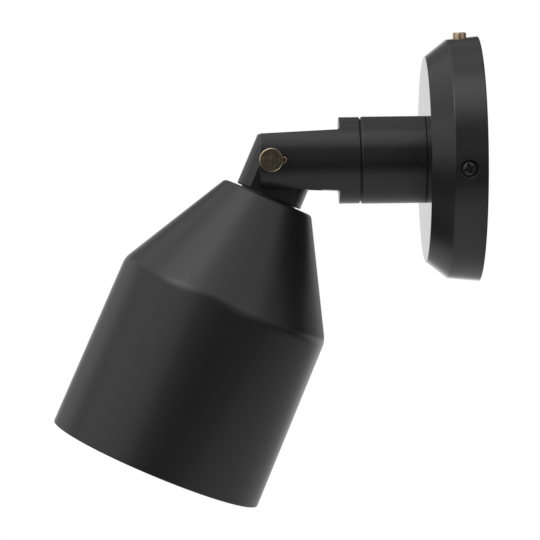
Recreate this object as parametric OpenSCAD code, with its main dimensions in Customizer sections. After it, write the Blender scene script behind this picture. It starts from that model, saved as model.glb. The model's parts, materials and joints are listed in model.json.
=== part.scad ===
// Pivoting wall spotlight: a round canopy, an arm that swivels on it, and a shade that tilts in its fork.
// The wall is the plane y = 0, the lamp reaches out along -Y, and +Z is up. Lengths are in millimetres.

/* [Canopy] */
// Diameter of the canopy against the wall
canopy_d = 120; // [112:1:140]
// How much the rim's radius narrows towards its front edge
canopy_rim_slant = 1.5; // [0.5:0.1:3]
// Depth of the rim
canopy_rim_depth = 15.3; // [14.5:0.1:18]
// Width of the chamfer between the rim and the flat face, measured along the radius
canopy_chamfer_w = 8.25; // [5:0.25:14]
// Depth of the whole canopy
canopy_depth = 25.8; // [25:0.1:34]
// Wall of the canopy
canopy_wall = 2; // [1.5:0.1:2.4]

/* [Mounting strip] */
// Width of the steel strip on the wall
strip_w = 18; // [14:0.5:18]
// Thickness of the strip
strip_t = 2; // [1.5:0.1:2.5]
// Distance between the middles of the two wall screw slots
wall_slot_spacing = 60; // [54:1:62]
// Width of a wall screw slot
wall_slot_w = 4.8; // [4:0.1:5.5]
// Length of a wall screw slot from end to end
wall_slot_l = 14; // [8:0.5:15]
// How far the strip and the side screws lie below the middle
strip_drop = 6; // [4:0.5:7]

/* [Stub and fork arm] */
// Diameter of the fixed stub
stub_d = 42.7; // [40:0.1:48]
// Length of the stub from the canopy's face
stub_l = 31.4; // [24:0.1:50]
// Gap between the stub and the turning collar
swivel_gap = 0.6; // [0.4:0.1:1.5]
// How far the collar and the fork's round sides lie inside the stub's surface
collar_step = 0.15; // [0.1:0.05:1.5]
// Length of the collar
collar_l = 10.1; // [9.5:0.1:14]
// Distance from the back of the collar to the fork's tip
fork_l = 48.8; // [47:0.1:60]
// Distance from the fork's tip back to the pivot
tip_to_pivot = 5.5; // [5.4:0.1:7]
// Height of the fork at the collar
fork_root_h = 29.6; // [26:0.1:32]
// Height of the fork at its tip
fork_tip_h = 26.2; // [22:0.1:29]
// How far the arm turns each way
swivel_limit = 165; // [90:1:168]

/* [Neck] */
// Diameter of the neck
neck_d = 33.6; // [32:0.1:36]
// Thickness of the neck across its two flats
neck_across = 27; // [25:0.1:28]
// Height of the neck above the pivot
neck_above = 9.9; // [8:0.1:10.5]
// Depth of the neck below the pivot
neck_below = 16.2; // [16:0.1:20]
// How far the neck's middle lies behind the pivot
neck_offset = 5.5; // [5.3:0.1:5.8]
// Tilt of the shade from straight down in the photograph
rest_tilt = 23.6; // [0:0.1:60]
// Most tilt from straight down, where the shade points straight out
tilt_limit = 90; // [60:1:95]

/* [Thumb screw] */
// Diameter of the thumb screw's head
thumb_d = 11.6; // [10:0.1:14]
// Thickness of the thumb screw's head
thumb_t = 5; // [3:0.1:8]
// Diameter of the pivot shank
pivot_d = 5; // [4:0.1:5.2]
// Distance from the pivot to the small stop screw
stop_screw_radius = 5.9; // [5.9:0.1:6.2]

/* [Shade] */
// Gap between the neck and the shade
shade_gap = 0.7; // [0.5:0.1:1.5]
// Diameter of the shade's flat top
shade_top_d = 46; // [40:0.5:60]
// Diameter where the cone meets the skirt
shade_shoulder_d = 106.4; // [96:0.2:130]
// Diameter of the mouth
shade_mouth_d = 108.4; // [96:0.2:140]
// Height of the cone
shade_cone_h = 54.3; // [50:0.1:70]
// Height of the skirt
shade_skirt_h = 87.6; // [60:0.1:110]
// Wall of the shade
shade_wall = 1.5; // [1:0.1:2]

/* [Lampholder] */
// Inner radius of the screw shell that a lamp cap turns into
shell_r = 13.3; // [13.1:0.05:13.6]
// Length of the screw shell
shell_l = 22; // [20:0.5:28]
// Outer diameter of the lampholder
holder_d = 39; // [36:0.5:42]

/* [Switch] */
// Diameter of the push button
button_d = 6.6; // [5:0.1:7.4]
// How far the button stands out of the rim
button_proud = 2.7; // [2.2:0.1:4]
// Travel of the button
button_travel = 2; // [1:0.1:2]
// Distance from the wall to the middle of the button
button_reach = 8; // [7.6:0.1:8.4]

/* [Hidden] */
$fn = 96;

// Overrun of every cut, and the play of threads, running fits and bores that a piece only passes
over = 1;
thread_play = 0.05;
running_play = 0.05;
pass_play = 0.2;
small_edge = 0.6;
edge_steps = 5;

// Canopy
canopy_rim_d = canopy_d - 2 * canopy_rim_slant;
canopy_face_d = canopy_rim_d - 2 * canopy_chamfer_w;
collar_d = stub_d - 2 * collar_step;
canopy_edge_r = 1;
face_inside = canopy_depth - canopy_wall;
side_screw_reach = 8.9;
side_screw_d = 3.5;
side_head_d = 7;
side_head_h = 2.2;
side_recess_d = 8.6;
side_recess_depth = 1.9;
side_pad_d = 12;
side_pad_floor = 1.6;
side_screw_l = 6;
cross_l = 4.2;
cross_w = 1.1;
cross_depth = 1.2;
cross_turn = 20;
rim_r_at_screw = canopy_d / 2 - canopy_rim_slant * side_screw_reach / canopy_rim_depth;
side_seat_x = sqrt(pow(rim_r_at_screw, 2) - pow(strip_drop, 2)) - side_recess_depth;
side_pad_x = side_seat_x - side_pad_floor;

// Mounting strip
ear_w = 10;
ear_past_screw = 4.6;
ear_play = 0.1;
ear_x = side_pad_x - ear_play;
tab_above = 24;
earth_from_ear = 10.2;
earth_x = ear_x - earth_from_ear;
earth_d = 4;
earth_head_d = 7;
earth_head_h = 2.4;
earth_tag_d = 8;
earth_tag_t = 0.8;
earth_barrel_d = 3;
earth_barrel_end = 10;

// Terminal block
block_pole = 8;
block_poles = 4;
block_h = 12;
block_t = 11;
block_bottom = 10;
block_screw_d = 3;
block_screw_depth = 5;
block_screw_sunk = 0.8;
block_way_d = 3;
block_way_depth = 3;
block_way_reach = strip_t + block_t / 2;
block_screw_floor = strip_t + block_t - block_screw_depth;
tab_margin = 1;
tab_w = block_pole * block_poles + 2 * tab_margin;

// Switch
rim_r_at_button = canopy_d / 2 - canopy_rim_slant * button_reach / canopy_rim_depth;
button_play = 0.2;
button_rim_d = 8.4;
button_rim_t = 1.5;
button_edge = 0.5;
switch_boss_d = 14;
switch_neck_d = 9.6;
switch_neck_wall = 0.4;
switch_d = 13;
lug_w = 2.8;
lug_t = 0.8;
lug_l = 5;
lug_apart = 6;
button_skin_low = rim_r_at_button - canopy_wall;
switch_neck_h = 4.7;
switch_l = 14.5;
switch_boss_low = button_skin_low - switch_neck_h;
switch_low = switch_boss_low - switch_l;

// Thread tube that holds the stub, and what is on it
tube_d = 10;
tube_bore = 7;
tube_back = 15;
nut_across = 14;
nut_t = 4;
lock_washer_d = 18;
lock_washer_t = 0.8;
stub_wall = 3;
stub_web = 5;
stub_nut_well = 5.4;
nut_well_d = 20;
stub_front = canopy_depth + stub_l;
stub_nut_back = stub_front - stub_nut_well;
swivel_washer_d = 26;
stop_pin_d = 3;
stop_pin_l = 8;
stop_pin_proud = 2.4;
stop_pin_radius = 15.8;
stop_groove_play = 0.3;

// Fork arm
collar_back = stub_front + swivel_gap;
collar_web = 5;
web_front = collar_back + collar_web;
shoulder = collar_back + collar_l;
fork_tip = collar_back + fork_l;
pivot_reach = fork_tip - tip_to_pivot;
shoulder_fillet = 1.2;
spring_washer_t = 1;
swivel_nut_t = 5;
tube_front = web_front + spring_washer_t + swivel_nut_t + small_edge;
tilt_washer_t = 0.5;
tilt_washer_d = 8.8;
slot_w = neck_across + 2 * tilt_washer_t;
slot_clear = 0.7;
pivot_play = 0.1;
thumb_clear = 0.05;
knurl_teeth = 48;
knurl_depth = 0.3;
thumb_bevel = 0.8;
stop_screw_d = 3.6;
stop_dog_d = 2.4;
stop_dog_l = 1.5;
stop_well_d = 4.7;
stop_well_depth = 1;
stop_screw_sunk = 0.3;
stop_socket_across = 1.8;
stop_socket_depth = 1.6;
stop_groove_depth = 2;
stop_groove_w = stop_dog_d + 2 * pass_play;
pivot_nut_across = 8;
pivot_nut_t = 3;
pivot_nut_face_d = 10.5;
pivot_nut_sunk = 0.8;
pivot_dome_r = 3.6;
shank_past_cheek = 4;

// Neck
window_w = 8;
window_from = 4;
window_low = 3.2;
neck_bore = 7.2;
tube_thread_top = 10;
neck_edge = 0.6;
neck_far = neck_offset + neck_d / 2;
neck_reach = norm([neck_far, neck_above]);
slot_end = pivot_reach - neck_reach - slot_clear;

// Shade, its fixing and the lampholder, measured down from the pivot along the neck
shade_top = neck_below + shade_gap;
shade_shoulder = shade_top + shade_cone_h;
shade_mouth = shade_shoulder + shade_skirt_h;
shade_corner_r = 2.5;
shade_shoulder_r = 5;
shade_spacer_d = 28.4;
shade_plate = shade_top + shade_wall;
shade_washer_d = 22;
shade_washer_t = 0.8;
shade_nut_t = 3.2;
shade_nut_low = shade_plate + shade_washer_t + shade_nut_t;
holder_top = shade_nut_low + pass_play;
holder_wall = 2;
cap_neck_d = 16;
cap_neck_h = 8;
cap_cone_h = 10;
cap_h = 14.4;
cap_low = holder_top + cap_h;
insulator_sunk = 8;
insulator_top = cap_low + insulator_sunk;
insulator_t = 8;
insulator_play = 0.2;
insulator_low = insulator_top + insulator_t;
shell_wall = 0.5;
shell_proud = 1;
contact_d = 7;
contact_t = 1.4;
shell_top = insulator_low + contact_t + pass_play;
shell_low = shell_top + shell_l;
cup_low = shell_low - shell_proud;
skirt_past_cup = 2;
holder_low = cup_low + skirt_past_cup;
shade_tube_low = holder_top + cap_neck_h;
holder_screw_d = 3;
holder_screw_head_d = 5;
holder_screw_head_h = 2;
holder_screw_radius = 11;

// Cables
cable_d = 5;
lead_d = 2;
lead_spread = 1.2;
cable_past_tube = 0.5;
arm_cable_back = tube_back - cable_past_tube;
arm_cable_stop = 11.5;
head_cable_top = 8.5;
cable_end_above_cap_rim = 4;
head_cable_low = cap_low - cable_end_above_cap_rim;
cable_sides = 12;
lead_sides = 8;

/* Frames */

// Local z runs out of the wall, local y runs up
module from_wall() {
    rotate([90, 0, 0]) children();
}

// The pivot is the origin, local z runs to +X, local x runs to +Y and local y runs up
module at_pivot() {
    translate([0, -pivot_reach, 0]) rotate([90, 0, 90]) children();
}

// The neck's middle is the local z axis, running down the shade from the height of the pivot
module down_neck() {
    translate([0, -pivot_reach, 0]) rotate([180 - rest_tilt, 0, 0])
        translate([0, -neck_offset, 0]) children();
}

// An outline of (local z, local y) points carried along X
module across(width) {
    rotate([0, -90, 0]) linear_extrude(width, center = true) children();
}

/* Outlines */

function unit(v) = v / norm(v);

// Middle of the circle of radius r that touches both sides of the corner b
function corner_centre(a, b, c, r) =
    let (u = unit(a - b), w = unit(c - b), half = acos(u * w) / 2)
    b + unit(u + w) * r / sin(half);

// Smallest turn, in degrees, that has the same effect as a
function short_turn(a) = a - 360 * floor((a + 180) / 360);

function corner_arc(a, b, c, r) =
    let (
        m = corner_centre(a, b, c, r),
        u = unit(a - b),
        w = unit(c - b),
        d = r / tan(acos(u * w) / 2),
        from = atan2((b + u * d - m).y, (b + u * d - m).x),
        to = atan2((b + w * d - m).y, (b + w * d - m).x),
        sweep = short_turn(to - from)
    )
    [for (i = [0:edge_steps]) let (turn = from + sweep * i / edge_steps) m + r * [cos(turn), sin(turn)]];

function flat_point(p) = [p[0], p[1]];

// Outline with its corners rounded: each point is [x, y, radius]
function rounded(p) = [
    for (i = [0:len(p) - 1])
        let (
            a = flat_point(p[(i + len(p) - 1) % len(p)]),
            b = flat_point(p[i]),
            c = flat_point(p[(i + 1) % len(p)])
        )
        each (p[i][2] > 0 ? corner_arc(a, b, c, p[i][2]) : [b])
];

/* Common shapes */

module ring(outer_d, inner_d, t) {
    difference() {
        cylinder(h = t, d = outer_d);
        translate([0, 0, -over]) cylinder(h = t + 2 * over, d = inner_d);
    }
}

// Hexagonal prism with its corners turned down at both ends
module hex_blank(across_flats, t) {
    corner_r = across_flats / 2 / cos(30);
    intersection() {
        cylinder(h = t, r = corner_r, $fn = 6);
        rotate_extrude() polygon([
            [0, 0],
            [across_flats / 2, 0],
            [corner_r, (corner_r - across_flats / 2) / 2],
            [corner_r, t - (corner_r - across_flats / 2) / 2],
            [across_flats / 2, t],
            [0, t]
        ]);
    }
}

module hex_nut(across_flats, bore, t) {
    difference() {
        hex_blank(across_flats, t);
        translate([0, 0, -over]) cylinder(h = t + 2 * over, d = bore);
    }
}

// Pan head with a cross recess: its seat is at z = 0 and its shank runs down
module pan_screw(head_d, head_h, shank_d, shank_l, turn) {
    difference() {
        union() {
            rotate_extrude() polygon(rounded([
                [0, 0, 0], [head_d / 2, 0, 0], [head_d / 2, head_h, head_h / 2], [0, head_h, 0]
            ]));
            translate([0, 0, -shank_l]) cylinder(h = shank_l + small_edge, d = shank_d);
        }
        for (a = [turn, turn + 90]) {
            rotate([0, 0, a]) translate([0, 0, head_h + over / 2 - cross_depth / 2])
                cube([min(cross_l, head_d - 2 * small_edge), cross_w, cross_depth + over], center = true);
        }
    }
}

// Slotted cylinder screw head with its shank running down from z = 0
module slotted_screw(head_d, head_h, shank_d, shank_l) {
    difference() {
        union() {
            cylinder(h = head_h, d = head_d);
            translate([0, 0, -shank_l]) cylinder(h = shank_l + head_h / 2, d = shank_d);
        }
        translate([0, 0, head_h]) cube([head_d + over, head_d / 5, head_h], center = true);
    }
}

// Points of a cubic curve with the handles p0 to p3
function curve_point(p, t) =
    pow(1 - t, 3) * p[0] + 3 * pow(1 - t, 2) * t * p[1] + 3 * (1 - t) * t * t * p[2] + pow(t, 3) * p[3];
function curve(p, steps) = [for (i = [0:steps]) curve_point(p, i / steps)];

function ring_points(p, t, side, r, sides) =
    let (u = unit(cross(side, t)), w = cross(t, u))
    [for (k = [0:sides - 1]) p + r * (cos(360 * k / sides) * u + sin(360 * k / sides) * w)];

// Tube along a route of 3-D points. side is a direction that the route never runs along.
module tube_along(route, d, sides, side, first, last) {
    n = len(route);
    tangents = [
        for (i = [0:n - 1])
            i == 0 ? unit(first) : i == n - 1 ? unit(last) : unit(route[i + 1] - route[i - 1])
    ];
    points = [for (i = [0:n - 1]) each ring_points(route[i], tangents[i], side, d / 2, sides)];
    walls = [
        for (i = [0:n - 2], k = [0:sides - 1])
            let (a = i * sides + k, b = i * sides + (k + 1) % sides)
            each [[a, a + sides, b + sides], [a, b + sides, b]]
    ];
    first_cap = [for (k = [1:sides - 2]) [0, k, k + 1]];
    last_cap = [for (k = [1:sides - 2]) [(n - 1) * sides, (n - 1) * sides + k + 1, (n - 1) * sides + k]];
    polyhedron(points, concat(walls, first_cap, last_cap));
}

/* Canopy and what is on the wall */

module canopy_outline(inset) {
    back = [canopy_d / 2 - inset, 0];
    rim = [canopy_rim_d / 2, canopy_rim_depth];
    face = [canopy_face_d / 2, canopy_depth];
    middle = [0, canopy_depth];
    rim_in = inset > 0 ? corner_centre([canopy_d / 2, 0], rim, face, inset) : rim;
    face_in = inset > 0 ? corner_centre(rim, face, middle, inset) : face;
    edge_r = inset > 0 ? 0 : canopy_edge_r;
    polygon(rounded([
        [0, 0, 0],
        [back.x, back.y, 0],
        [rim_in.x, rim_in.y, edge_r],
        [face_in.x, face_in.y, edge_r],
        [0, canopy_depth - inset, 0]
    ]));
}

// Both side screws: local z points out of the rim
module at_side_screws() {
    for (side = [-1, 1]) {
        translate([side * side_seat_x, -side_screw_reach, -strip_drop])
            rotate([0, side * 90, 0]) children();
    }
}

// Middle of the push button: local z points up out of the rim
module at_button() {
    translate([0, -button_reach, 0]) children();
}

module canopy() {
    color("#26262a") difference() {
        intersection() {
            from_wall() rotate_extrude() canopy_outline(0);
            union() {
                difference() {
                    from_wall() cylinder(h = canopy_depth, d = canopy_d + over);
                    from_wall() rotate_extrude() canopy_outline(canopy_wall);
                }
                at_side_screws() translate([0, 0, -side_pad_floor])
                    cylinder(h = side_head_d, d = side_pad_d);
                at_button() translate([0, 0, switch_boss_low])
                    cylinder(h = canopy_d / 2 - switch_boss_low, d = switch_boss_d);
            }
        }
        at_side_screws() {
            cylinder(h = side_head_d, d = side_recess_d);
            translate([0, 0, -side_pad_floor - over])
                cylinder(h = side_pad_floor + 2 * over, d = side_screw_d + 2 * pass_play);
        }
        at_button() {
            translate([0, 0, switch_boss_low - over])
                cylinder(h = button_skin_low - switch_boss_low + over, d = switch_neck_d + 2 * thread_play);
            translate([0, 0, switch_boss_low]) cylinder(h = canopy_d / 2, d = button_d + 2 * button_play);
        }
        from_wall() translate([0, 0, face_inside - over])
            cylinder(h = canopy_wall + 2 * over, d = tube_d + 2 * pass_play);
    }
}

// Slot as two round ends and a straight middle, so that its ends stay true arcs
module slot_cut(l, w, t) {
    for (side = [-1, 1]) {
        translate([side * (l - w) / 2, 0, 0]) cylinder(h = t, d = w);
    }
    translate([-(l - w) / 2, -w / 2, 0]) cube([l - w, w, t]);
}

module mounting_strip() {
    color("#b9bcc0") difference() {
        union() {
            from_wall() translate([-ear_x, -strip_drop - strip_w / 2, 0])
                cube([2 * ear_x, strip_w, strip_t]);
            from_wall() translate([-tab_w / 2, -strip_drop, 0])
                cube([tab_w, strip_drop + tab_above, strip_t]);
            for (side = [0, 1]) {
                mirror([side, 0, 0]) from_wall() translate([ear_x - strip_t, -strip_drop - ear_w / 2, 0])
                    cube([strip_t, ear_w, side_screw_reach + ear_past_screw]);
            }
        }
        for (side = [-1, 1]) {
            from_wall() translate([side * wall_slot_spacing / 2, -strip_drop, -over])
                slot_cut(wall_slot_l, wall_slot_w, strip_t + 2 * over);
        }
        at_side_screws() translate([0, 0, -side_screw_l - over])
            cylinder(h = side_screw_l, d = side_screw_d + 2 * thread_play);
        from_wall() translate([earth_x, -strip_drop, -over])
            cylinder(h = strip_t + 2 * over, d = earth_d + 2 * thread_play);
    }
}

module canopy_screws() {
    color("#1b1b1e") at_side_screws()
        pan_screw(side_head_d, side_head_h, side_screw_d, side_screw_l, cross_turn);
}

module earth_screw() {
    color("#c8a24c") from_wall() translate([earth_x, -strip_drop, strip_t + earth_tag_t])
        pan_screw(earth_head_d, earth_head_h, earth_d, strip_t + earth_tag_t - small_edge, 0);
}

// Ring tag under the earth screw, with a barrel that the earth lead is pressed into
module earth_tag() {
    barrel_start = earth_head_d / 2 + pass_play / 2;
    color("#c2c4c8") from_wall() translate([earth_x, -strip_drop, strip_t]) difference() {
        union() {
            cylinder(h = earth_tag_t, d = earth_tag_d);
            translate([0, barrel_start, earth_barrel_d / 2]) rotate([-90, 0, 0])
                cylinder(h = earth_barrel_end - barrel_start, d = earth_barrel_d);
        }
        translate([0, 0, -over]) cylinder(h = earth_tag_t + 2 * over, d = earth_d + 2 * pass_play);
    }
}

function pole_x(i) = (i - (block_poles - 1) / 2) * block_pole;

module terminal_block() {
    block_w = block_pole * block_poles;
    color("#e6e4dc") from_wall() difference() {
        translate([-block_w / 2, block_bottom, strip_t]) cube([block_w, block_h, block_t]);
        for (i = [0:block_poles - 1]) {
            translate([pole_x(i), 0, 0]) {
                translate([0, block_bottom + block_h / 2, block_screw_floor])
                    cylinder(h = block_screw_depth + over, d = block_screw_d + 2 * thread_play);
                for (low = [block_bottom - over, block_bottom + block_h - block_way_depth]) {
                    translate([0, low, block_way_reach]) rotate([-90, 0, 0])
                        cylinder(h = block_way_depth + over, d = block_way_d);
                }
            }
        }
    }
}

module terminal_screws() {
    color("#c8a24c") from_wall() for (i = [0:block_poles - 1]) {
        translate([pole_x(i), block_bottom + block_h / 2, block_screw_floor]) difference() {
            cylinder(h = block_screw_depth - block_screw_sunk, d = block_screw_d);
            translate([0, 0, block_screw_depth - block_screw_sunk])
                cube([block_screw_d + over, block_screw_d / 5, block_screw_sunk], center = true);
        }
    }
}

module switch_body() {
    cavity_low = rim_r_at_button - canopy_wall - button_rim_t - button_travel - small_edge;
    color("#3a3a3e") at_button() difference() {
        union() {
            translate([0, 0, switch_low]) cylinder(h = switch_boss_low - switch_low, d = switch_d);
            translate([0, 0, switch_boss_low])
                cylinder(h = button_skin_low - switch_boss_low, d = switch_neck_d);
        }
        translate([0, 0, cavity_low])
            cylinder(h = canopy_d / 2, d = switch_neck_d - 2 * switch_neck_wall);
    }
}

module switch_lugs() {
    color("#c9a76a") at_button() for (side = [-1, 1]) {
        translate([side * lug_apart / 2 - lug_t / 2, -lug_w / 2, switch_low - lug_l])
            cube([lug_t, lug_w, lug_l]);
    }
}

module switch_button() {
    top = rim_r_at_button + button_proud;
    rim_low = button_skin_low - button_rim_t;
    color("#b08d57") at_button() rotate_extrude() polygon(rounded([
        [0, rim_low, 0],
        [button_rim_d / 2, rim_low, 0],
        [button_rim_d / 2, button_skin_low, 0],
        [button_d / 2, button_skin_low, 0],
        [button_d / 2, top, button_edge],
        [0, top, 0]
    ]));
}

// The switch breaks the live wire: one lead runs to the first pole and the other to the second
module switch_leads() {
    block_top = block_bottom + block_h;
    color("#303236") for (side = [0, 1]) {
        x = (side - 1 / 2) * lug_apart;
        far_x = pole_x(side);
        mouth = [far_x, -block_way_reach, block_top];
        route = concat(curve([
            [x, -button_reach, switch_low - lug_l],
            [x, -button_reach, switch_low - lug_l - lug_l / 2],
            mouth + [0, 0, lug_l],
            mouth
        ], lead_sides), [mouth - [0, 0, block_way_depth]]);
        tube_along(route, lead_d, lead_sides, [0, 1, 0], [0, 0, -1], [0, 0, -1]);
    }
}

// Live, neutral and earth fan out from the end of the cable to the lower side of the last three poles
module canopy_leads() {
    color("#303236") for (i = [-1:1]) {
        start = [i * lead_spread * cos(30), -arm_cable_back, (i == 0 ? 1 : -sin(30)) * lead_spread];
        finish = [pole_x(block_poles - 2 + i), -block_way_reach, block_bottom + block_way_depth];
        route = curve([
            start,
            start + [0, block_pole, 0],
            finish - [0, 0, block_bottom],
            finish
        ], 2 * lead_sides);
        tube_along(route, lead_d, lead_sides, [1, 0, 0], [0, 1, 0], [0, 0, 1]);
    }
}

// Earth lead from the tag on the strip to the upper side of the last pole
module earth_lead() {
    start = [earth_x, -strip_t - earth_barrel_d / 2, -strip_drop + earth_barrel_end];
    mouth = [pole_x(block_poles - 1), -block_way_reach, block_bottom + block_h];
    route = concat(curve([
        start,
        start + [0, 0, tab_above],
        mouth + [0, 0, block_h],
        mouth
    ], 2 * lead_sides), [mouth - [0, 0, block_way_depth]]);
    color("#6f9a3c") tube_along(route, lead_d, lead_sides, [0, 1, 0], [0, 0, 1], [0, 0, -1]);
}

/* Stub and swivel */

module stub() {
    color("#26262a") from_wall() difference() {
        rotate_extrude() polygon(rounded([
            [0, canopy_depth, 0],
            [stub_d / 2, canopy_depth, 0],
            [stub_d / 2, stub_front, small_edge],
            [0, stub_front, 0]
        ]));
        translate([0, 0, canopy_depth + stub_wall])
            cylinder(h = stub_nut_back - stub_web - canopy_depth - stub_wall, d = stub_d - 2 * stub_wall);
        translate([0, 0, stub_nut_back]) cylinder(h = stub_nut_well + over, d = nut_well_d);
        translate([0, 0, canopy_depth - over])
            cylinder(h = stub_l + 2 * over, d = tube_d + 2 * thread_play);
        translate([0, stop_pin_radius, stub_front + stop_pin_proud - stop_pin_l])
            cylinder(h = stop_pin_l, d = stop_pin_d + 2 * thread_play);
    }
}

module swivel_tube() {
    color("#c2c4c8") from_wall() translate([0, 0, tube_back])
        ring(tube_d, tube_bore, tube_front - tube_back);
}

module canopy_nut() {
    color("#b9bcc0") from_wall() translate([0, 0, face_inside - lock_washer_t - nut_t])
        hex_nut(nut_across, tube_d + 2 * thread_play, nut_t);
}

module lock_washer() {
    color("#c2c4c8") from_wall() translate([0, 0, face_inside - lock_washer_t])
        ring(lock_washer_d, tube_d + 2 * pass_play, lock_washer_t);
}

module stub_nut() {
    color("#b9bcc0") from_wall() translate([0, 0, stub_nut_back])
        hex_nut(nut_across, tube_d + 2 * thread_play, nut_t);
}

module swivel_stop_pin() {
    color("#c2c4c8") from_wall() translate([0, stop_pin_radius, stub_front + stop_pin_proud - stop_pin_l])
        cylinder(h = stop_pin_l, d = stop_pin_d);
}

module swivel_washer() {
    color("#8f8f8a") from_wall() translate([0, 0, stub_front])
        ring(swivel_washer_d, tube_d + 2 * running_play, swivel_gap);
}

/* Arm */

// Arc groove of the radius r around local z, from z = 0 to z = depth. A pin as wide as the groove would turn
// in it between the angles from and to, so each end lies half the width further on.
module arc_groove(r, w, depth, from, to) {
    past = asin(w / 2 / r);
    rotate_extrude(angle = to - from + 2 * past, start = from - past)
        translate([r - w / 2, 0]) square([w, depth]);
}

module fork_side_outline() {
    tall = collar_d / 2 + over;
    root = fork_root_h / 2;
    tip = fork_tip_h / 2;
    polygon(rounded([
        [collar_back - over, -tall, 0],
        [shoulder, -tall, 0],
        [shoulder, -root, shoulder_fillet],
        [fork_tip, -tip, small_edge],
        [fork_tip, tip, small_edge],
        [shoulder, root, shoulder_fillet],
        [shoulder, tall, 0],
        [collar_back - over, tall, 0]
    ]));
}

module fork_arm() {
    groove_depth = stop_pin_proud - swivel_gap + stop_groove_play;
    groove_w = stop_pin_d + 2 * stop_groove_play;
    color("#26262a") difference() {
        from_wall() intersection() {
            rotate_extrude() polygon(rounded([
                [0, collar_back, 0],
                [collar_d / 2, collar_back, small_edge],
                [collar_d / 2, fork_tip, small_edge],
                [0, fork_tip, 0]
            ]));
            across(collar_d + 2 * over) fork_side_outline();
        }
        from_wall() {
            translate([-slot_w / 2, -collar_d / 2, slot_end])
                cube([slot_w, collar_d, fork_tip - slot_end + over]);
            translate([0, 0, collar_back - over])
                cylinder(h = collar_web + 2 * over, d = tube_d + 2 * running_play);
            translate([0, 0, web_front]) cylinder(h = slot_end - web_front + over, d = nut_well_d);
            translate([0, 0, collar_back - over])
                arc_groove(
                    stop_pin_radius, groove_w, groove_depth + over, 90 - swivel_limit, 90 + swivel_limit
                );
        }
        at_pivot() {
            translate([0, 0, -collar_d / 2 - over])
                cylinder(h = collar_d + 2 * over, d = pivot_d + 2 * pivot_play);
            translate([stop_screw_radius, 0, slot_w / 2 - over])
                cylinder(h = collar_d / 2, d = stop_screw_d + 2 * thread_play);
            translate([stop_screw_radius, 0, collar_d / 2 - stop_well_depth])
                cylinder(h = stop_well_depth + over, d = stop_well_d);
            translate([0, 0, -collar_d / 2 - over])
                cylinder(h = pivot_nut_sunk + over, d = pivot_nut_face_d);
        }
    }
}

module spring_washer() {
    color("#c2c4c8") from_wall() translate([0, 0, web_front])
        ring(lock_washer_d, tube_d + 2 * running_play, spring_washer_t);
}

module swivel_nut() {
    color("#b9bcc0") from_wall() translate([0, 0, web_front + spring_washer_t])
        hex_nut(nut_across, tube_d + 2 * thread_play, swivel_nut_t);
}

module tilt_washers() {
    color("#8f8f8a") at_pivot() for (low = [-slot_w / 2, neck_across / 2]) {
        translate([0, 0, low]) ring(tilt_washer_d, pivot_d + 2 * pivot_play, tilt_washer_t);
    }
}

module tilt_stop_screw() {
    outer = collar_d / 2 - stop_screw_sunk;
    dog = neck_across / 2 - stop_dog_l;
    color("#b08d57") at_pivot() translate([stop_screw_radius, 0, 0]) difference() {
        union() {
            translate([0, 0, slot_w / 2]) cylinder(h = outer - slot_w / 2, d = stop_screw_d);
            translate([0, 0, dog]) cylinder(h = slot_w / 2 - dog + small_edge, d = stop_dog_d);
        }
        translate([0, 0, outer - stop_socket_depth])
            cylinder(h = stop_socket_depth + over, r = stop_socket_across / 2 / cos(30), $fn = 6);
    }
}

module pivot_nut() {
    seat = -collar_d / 2 + pivot_nut_sunk;
    color("#b08d57") at_pivot() difference() {
        union() {
            translate([0, 0, seat - pivot_nut_t]) hex_blank(pivot_nut_across, pivot_nut_t);
            intersection() {
                translate([0, 0, seat - pivot_nut_t]) sphere(r = pivot_dome_r);
                translate([0, 0, seat - pivot_nut_t - 2 * pivot_dome_r])
                    cylinder(h = 2 * pivot_dome_r, r = pivot_dome_r);
            }
        }
        translate([0, 0, seat - shank_past_cheek - small_edge])
            cylinder(h = shank_past_cheek + small_edge + over, d = pivot_d + 2 * running_play);
    }
}

module thumb_screw() {
    seat = collar_d / 2 + thumb_clear;
    far_end = -collar_d / 2 + pivot_nut_sunk - shank_past_cheek;
    color("#8c7442") at_pivot() {
        intersection() {
            translate([0, 0, seat]) linear_extrude(thumb_t) polygon([
                for (i = [0:2 * knurl_teeth - 1])
                    let (a = 180 * i / knurl_teeth) (thumb_d / 2 - (i % 2) * knurl_depth) * [cos(a), sin(a)]
            ]);
            translate([0, 0, seat]) rotate_extrude() polygon([
                [0, 0],
                [thumb_d / 2 - 2 * knurl_depth, 0],
                [thumb_d / 2 + knurl_depth, 3 * knurl_depth],
                [thumb_d / 2 + knurl_depth, thumb_t - thumb_bevel - knurl_depth],
                [thumb_d / 2 - thumb_bevel, thumb_t],
                [0, thumb_t]
            ]);
        }
        translate([0, 0, far_end]) cylinder(h = seat - far_end + small_edge, d = pivot_d);
    }
}

/* Neck and shade */

module neck() {
    color("#26262a") difference() {
        down_neck() intersection() {
            rotate_extrude() polygon(rounded([
                [0, -neck_above, 0],
                [neck_d / 2, -neck_above, neck_edge],
                [neck_d / 2, neck_below, neck_edge],
                [0, neck_below, 0]
            ]));
            translate([-neck_across / 2, -neck_d / 2, -neck_above])
                cube([neck_across, neck_d, neck_above + neck_below]);
        }
        down_neck() {
            translate([-window_w / 2, -neck_d, -neck_above - over])
                cube([window_w, neck_d + neck_offset - window_from, neck_above + over + window_low]);
            translate([0, 0, window_low - over]) cylinder(h = neck_below, d = neck_bore);
            translate([0, 0, tube_thread_top]) cylinder(h = neck_below, d = tube_d + 2 * thread_play);
        }
        at_pivot() {
            translate([0, 0, -neck_across]) cylinder(h = 2 * neck_across, d = pivot_d + 2 * pivot_play);
            translate([0, 0, neck_across / 2 - stop_groove_depth])
                arc_groove(
                    stop_screw_radius, stop_groove_w, stop_groove_depth + over,
                    -rest_tilt, tilt_limit - rest_tilt
                );
        }
    }
}

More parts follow.
